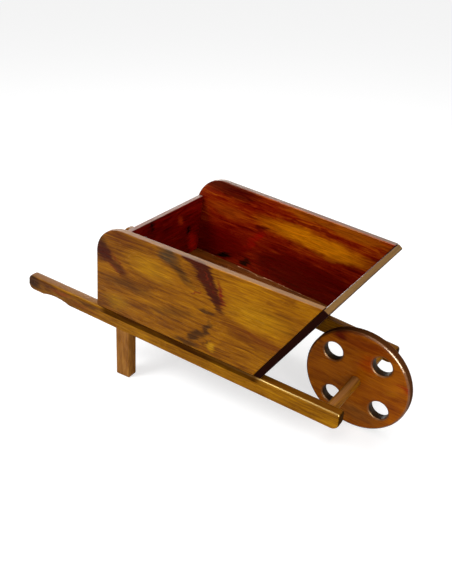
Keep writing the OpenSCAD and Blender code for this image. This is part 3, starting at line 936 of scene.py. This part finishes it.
corner_x = rear_edge_x(SIDE_TOP) + CORNER_ROUND / math.tan((math.pi / 2 + REAR_RAKE) / 2)
side_outline = [
    (SIDE_REAR_X, RAIL_TOP),
    (FRONT_X, RAIL_TOP),
    (front_face_x(SIDE_TOP), SIDE_TOP),
    *arc(
        (corner_x, SIDE_TOP - CORNER_ROUND),
        CORNER_ROUND, 90, 180 - math.degrees(REAR_RAKE), 28,
    ),
]
front_step_x = BOARD_T * math.cos(FRONT_LEAN)
front_step_z = BOARD_T * math.sin(FRONT_LEAN)
front_outline = [
    (FRONT_X, RAIL_TOP),
    (FRONT_X + BOARD_T / math.cos(FRONT_LEAN), RAIL_TOP),
    (front_face_x(SIDE_TOP) + front_step_x, SIDE_TOP - front_step_z),
    (front_face_x(SIDE_TOP), SIDE_TOP),
]
tail_outline = [
    (TAIL_X - BOARD_T, RAIL_TOP), (TAIL_X, RAIL_TOP),
    (TAIL_X, TAIL_TOP), (TAIL_X - BOARD_T, TAIL_TOP),
]
floor_outline = [
    (TAIL_X, FLOOR_BOTTOM), (front_face_x(FLOOR_BOTTOM), FLOOR_BOTTOM),
    (front_face_x(FLOOR_TOP), FLOOR_TOP), (TAIL_X, FLOOR_TOP),
]

for name, side, wood in (
    ("right_side_board", -1, wood_right_side), ("left_side_board", 1, wood_left_side),
):
    board(
        name, side_outline,
        lambda x, z, side=side: side_face_y(side, 0, x, z),
        lambda x, z, side=side: side_face_y(side, BOARD_T, x, z),
        side_place(side), BOARD_ROUND, wood,
    )

board(
    "tail_board", tail_outline,
    lambda x, z: side_face_y(-1, BOARD_T, x, z), lambda x, z: side_face_y(1, BOARD_T, x, z),
    move(TAIL_X, 0, RAIL_TOP) @ turn(QUARTER, "Z"), BOARD_ROUND, wood_tail,
)
board(
    "front_board", front_outline,
    lambda x, z: side_face_y(-1, 0, x, z), lambda x, z: side_face_y(1, 0, x, z),
    move(FRONT_X, 0, RAIL_TOP) @ turn(FRONT_LEAN, "Y") @ turn(QUARTER, "Z"),
    FRONT_ROUND, wood_front,
)

half_middle = MIDDLE_BOARD_W / 2
for name, near_y, far_y, middle_y, wood in (
    (
        "floor_board_right",
        lambda x, z: side_face_y(-1, BOARD_T, x, z),
        lambda x, z: -half_middle - FLOOR_JOINT,
        -OUTER_BOARD_Y, wood_floor,
    ),
    (
        "floor_board_middle",
        lambda x, z: -half_middle,
        lambda x, z: half_middle,
        0.0, wood_floor,
    ),
    (
        "floor_board_left",
        lambda x, z: half_middle + FLOOR_JOINT,
        lambda x, z: side_face_y(1, BOARD_T, x, z),
        OUTER_BOARD_Y, wood_floor_left,
    ),
):
    board(
        name, floor_outline, near_y, far_y,
        move(0, middle_y, FLOOR_TOP) @ turn(QUARTER, "X"), PLANK_ROUND, wood,
    )

for name, middle_x in BEARER_XS.items():
    rear_x, front_x = middle_x - BEARER_T / 2, middle_x + BEARER_T / 2
    bearer_outline = [
        (rear_x, FLOOR_BOTTOM - BEARER_H), (front_x, FLOOR_BOTTOM - BEARER_H),
        (front_x, FLOOR_BOTTOM), (rear_x, FLOOR_BOTTOM),
    ]
    board(
        name, bearer_outline,
        lambda x, z: rail_face_y(-1, RAIL_T, x), lambda x, z: rail_face_y(1, RAIL_T, x),
        move(middle_x, 0, FLOOR_BOTTOM) @ turn(QUARTER, "Z"), PLANK_ROUND, wood_bearer,
    )

rail("right_rail", -1, wood_right_rail)
rail("left_rail", 1, wood_left_rail)
leg("right_leg", -1, wood_leg)
leg("left_leg", 1, wood_leg)
wheel("wheel", wood_wheel)
axle("axle", wood_axle)

# The fixings keep the meshes of the frame and get a material only
steel = brushed_steel("Steel")
dowel_wood = plain_wood("Dowel wood")
for name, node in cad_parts.items():
    finish = {"dowels": dowel_wood, "screws": steel, "nails": steel}.get(name.split("_")[-1])
    if finish is not None:
        node.data.materials.clear()
        node.data.materials.append(finish)


# Stage, light and camera

STAGE_SIZE = 24.0
STAGE_GREY = 0.50
STAGE_LIFT = 0.62
STAGE_ROUGHNESS = 0.9
# The world's strength on the wood, and where the camera sees it or the varnish mirrors it
WORLD_LIGHT = 0.55
WORLD_SEEN = 1.0

# Name, place, target, size, power, and whether only the varnish shows it
LIGHTS = [
    ("Left softbox", (-0.85, -1.25, 1.75), (0, 0, 0.15), (0.8, 0.8), 32, False),
    ("Right softbox", (1.75, -1.10, 0.95), (0.2, 0, 0.15), (0.6, 1.1), 15, False),
    ("Overhead softbox", (0.1, 0.25, 2.2), (0, 0, 0.15), (1.4, 1.0), 20, False),
    ("Left panel", (-0.75, -1.10, 1.85), (0.1, -0.1, 0.1), (1.3, 1.6), 80, True),
    ("Back panel", (-1.45, 1.60, 0.62), (0.0, 0.0, 0.1), (1.0, 1.0), 36, True),
    ("Right panel", (1.35, -1.05, 0.95), (0.3, 0, 0.15), (0.9, 1.1), 62, True),
]

# The camera stands and points as the photo's did
CAMERA_PLACE = AXLE_CENTRE + Vector((0.362297, -0.93971, 0.73575))
CAMERA_RIGHT = Vector((0.81762, 0.57560, 0.01345))
CAMERA_UP = Vector((-0.29636, 0.40070, 0.86696))
CAMERA_LENS = 42.046
CAMERA_SENSOR = 36
CAMERA_REACH = 60


def floor_material():
    """A pale floor that reads as white to the camera and keeps the shadows."""
    s = Shader("Floor")
    seen = s.node("ShaderNodeLightPath").outputs["Is Camera Ray"]
    s.surface(
        {"Base Color": (STAGE_GREY, STAGE_GREY, STAGE_GREY, 1),
         "Roughness": STAGE_ROUGHNESS, "Specular IOR Level": 0.0,
         "Emission Color": (1, 1, 1, 1), "Emission Strength": s.times(seen, STAGE_LIFT)}
    )
    return s.material


def set_world():
    """A plain white surround, dimmer as a light than as a backdrop."""
    world = bpy.data.worlds.new("Studio")
    world.use_nodes = True
    bpy.context.scene.world = world
    tree = world.node_tree
    background = tree.nodes["Background"]
    background.inputs["Color"].default_value = (1, 1, 1, 1)
    path = tree.nodes.new("ShaderNodeLightPath")
    seen = tree.nodes.new("ShaderNodeMath")
    seen.operation = "MAXIMUM"
    tree.links.new(path.outputs["Is Camera Ray"], seen.inputs[0])
    tree.links.new(path.outputs["Is Glossy Ray"], seen.inputs[1])
    strength = tree.nodes.new("ShaderNodeMapRange")
    strength.inputs["To Min"].default_value = WORLD_LIGHT
    strength.inputs["To Max"].default_value = WORLD_SEEN
    tree.links.new(seen.outputs[0], strength.inputs["Value"])
    tree.links.new(strength.outputs["Result"], background.inputs["Strength"])


def area_light(name, place, target, size, power, only_gloss):
    lamp = bpy.data.lights.new(name, "AREA")
    lamp.shape = "RECTANGLE"
    lamp.size, lamp.size_y = size
    lamp.energy = power
    lit = bpy.data.objects.new(name, lamp)
    lit.location = place
    lit.rotation_euler = (Vector(target) - Vector(place)).to_track_quat("-Z", "Y").to_euler()
    lit.visible_diffuse = not only_gloss
    bpy.context.scene.collection.objects.link(lit)


def floor():
    mesh = bpy.data.meshes.new("Floor")
    half = STAGE_SIZE / 2
    corners = [(-half, -half, 0), (half, -half, 0), (half, half, 0), (-half, half, 0)]
    mesh.from_pydata(corners, [], [(0, 1, 2, 3)])
    mesh.materials.append(floor_material())
    ground = bpy.data.objects.new("Floor", mesh)
    bpy.context.scene.collection.objects.link(ground)


def camera():
    lens = bpy.data.cameras.new("Camera")
    lens.lens = CAMERA_LENS
    lens.sensor_width = CAMERA_SENSOR
    lens.clip_end = CAMERA_REACH
    eye = bpy.data.objects.new("Camera", lens)
    axes = Matrix((CAMERA_RIGHT, CAMERA_UP, CAMERA_RIGHT.cross(CAMERA_UP)))
    eye.matrix_world = Matrix.Translation(CAMERA_PLACE) @ axes.transposed().to_4x4()
    bpy.context.scene.collection.objects.link(eye)
    bpy.context.scene.camera = eye


floor()
set_world()
for light in LIGHTS:
    area_light(*light)
camera()
bpy.context.scene.view_settings.view_transform = "Standard"
